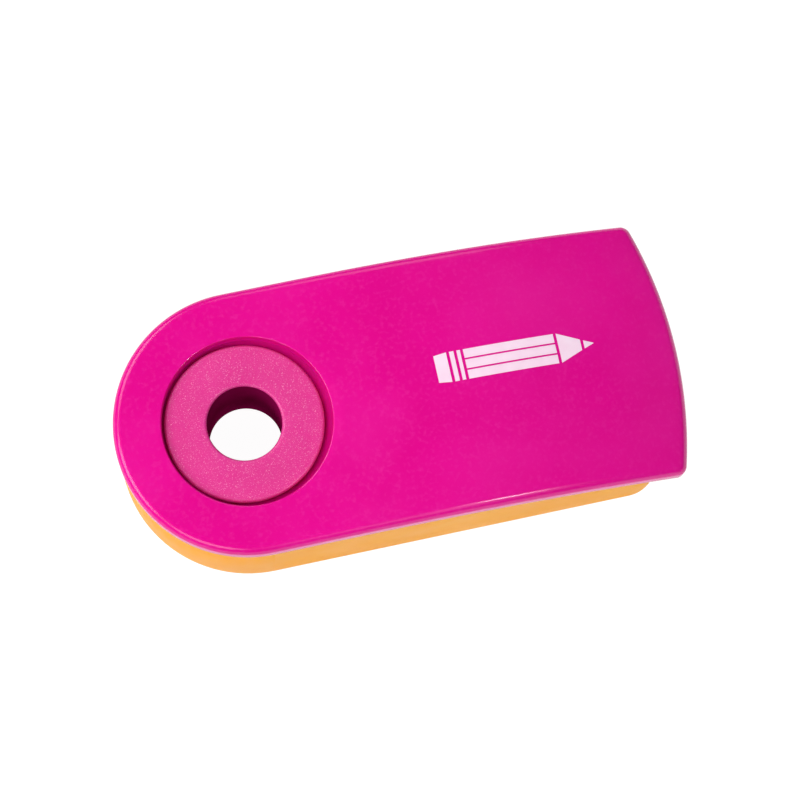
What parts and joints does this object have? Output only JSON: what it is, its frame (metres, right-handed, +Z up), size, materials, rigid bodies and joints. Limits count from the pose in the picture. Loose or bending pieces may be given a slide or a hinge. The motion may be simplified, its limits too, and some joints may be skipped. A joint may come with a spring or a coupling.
{
  "type": "pencil sharpener",
  "caption": "Flat pocket pencil sharpener: swinging cover on a hub ring over a shavings container with a metal sharpening block.",
  "frame": {"origin": "on the swing axis of the cover, in the plane that the closed sharpener rests on", "axes": "+X along the body to the free end, +Y to the side the pencil enters, +Z up through the hub"},
  "size_m": [0.0567, 0.026, 0.0135],
  "materials": {
    "cover_plastic": "polished magenta plastic",
    "container_plastic": "satin yellow-orange plastic",
    "hub_plastic": "frosted pink plastic",
    "block_metal": "milled magnesium",
    "blade_steel": "ground blade steel",
    "screw_steel": "turned steel"
  },
  "bodies": {
    "base": {"container": "container_plastic", "hub_bush": "hub_plastic", "hub_ring_lower": "hub_plastic", "sharpener_block": "block_metal", "blade": "blade_steel", "blade_screw": "screw_steel"},
    "swing_cover": {"cover": "cover_plastic"},
    "door": {"shavings_door": "container_plastic"}
  },
  "joints": [
    {"name": "cover_swing", "type": "hinge", "parent": "base", "child": "swing_cover", "pos_m": [0, 0, 0.0125], "axis": [0, 0, 1], "range_deg": [0, 180]},
    {"name": "door_slide", "type": "slide", "parent": "base", "child": "door", "axis": [1, 0, 0], "range_m": [0, 0.024]}
  ]
}
